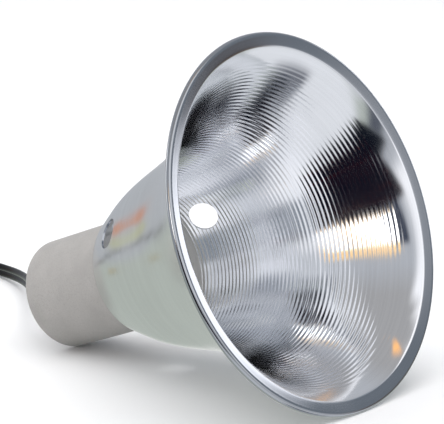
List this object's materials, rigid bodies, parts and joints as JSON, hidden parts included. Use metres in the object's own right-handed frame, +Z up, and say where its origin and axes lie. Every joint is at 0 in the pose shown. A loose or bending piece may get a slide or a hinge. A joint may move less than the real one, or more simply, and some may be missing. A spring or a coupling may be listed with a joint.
{
  "type": "heat lamp fixture",
  "caption": "Small spun-aluminium bell reflector with a screw-shell lampholder in a grey cylindrical cover, on a flat twin cord with a plug, lying on its side.",
  "frame": {"origin": "on the table under the middle of the bounding box of the fixture without its loose cord and plug", "axes": "+Z up; +X along the table towards the mouth; the lamp axis lies in the XZ plane and its mouth looks about 21 degrees up from +X"},
  "size_m": [0.3283, 0.14, 0.1311],
  "materials": {
    "spun_aluminium": "spun and polished, fine turning rings",
    "grey_moulding": "matte, finely speckled warm grey",
    "relief_rubber": "matte black",
    "porcelain": "glazed",
    "nickel_shell": "nickel plated, satin",
    "ring_moulding": "moulded phenolic",
    "contact_brass": "bright rolled strip",
    "zinc_steel": "zinc plated",
    "tinned_copper": "tin plated",
    "black_flex": "glossy black PVC",
    "black_moulding": "moulded black PVC",
    "blade_brass": "rolled, lightly worn"
  },
  "bodies": {
    "fixture": {"reflector": "spun_aluminium", "socket_cover": "grey_moulding", "cord_relief": "relief_rubber", "lampholder_body": "porcelain", "screw_shell": "nickel_shell", "shade_ring": "ring_moulding", "contact_foot": "contact_brass", "contact_rivet": "contact_brass", "shell_rivets": "contact_brass", "hot_terminal_plate": "contact_brass", "neutral_terminal_plate": "nickel_shell", "hot_terminal_screw": "contact_brass", "neutral_terminal_screw": "zinc_steel", "hot_ring_terminal": "tinned_copper", "neutral_ring_terminal": "tinned_copper", "hot_lead": "black_flex", "neutral_lead": "black_flex", "mounting_screws": "zinc_steel", "cord_knot": "black_flex", "power_cord": "black_flex", "cord_coil": "black_flex", "cord_tail": "black_flex", "plug_body": "black_moulding", "line_blade": "blade_brass", "neutral_blade": "blade_brass"},
    "contact_tongue": {"centre_contact": "contact_brass"}
  },
  "joints": [
    {"name": "contact_spring", "type": "hinge", "parent": "fixture", "child": "contact_tongue", "pos_m": [-0.04817, 0, 0.04024], "axis": [0, 1, 0], "range_deg": [0, 7], "stiffness_Nm_per_rad": 0.4}
  ]
}
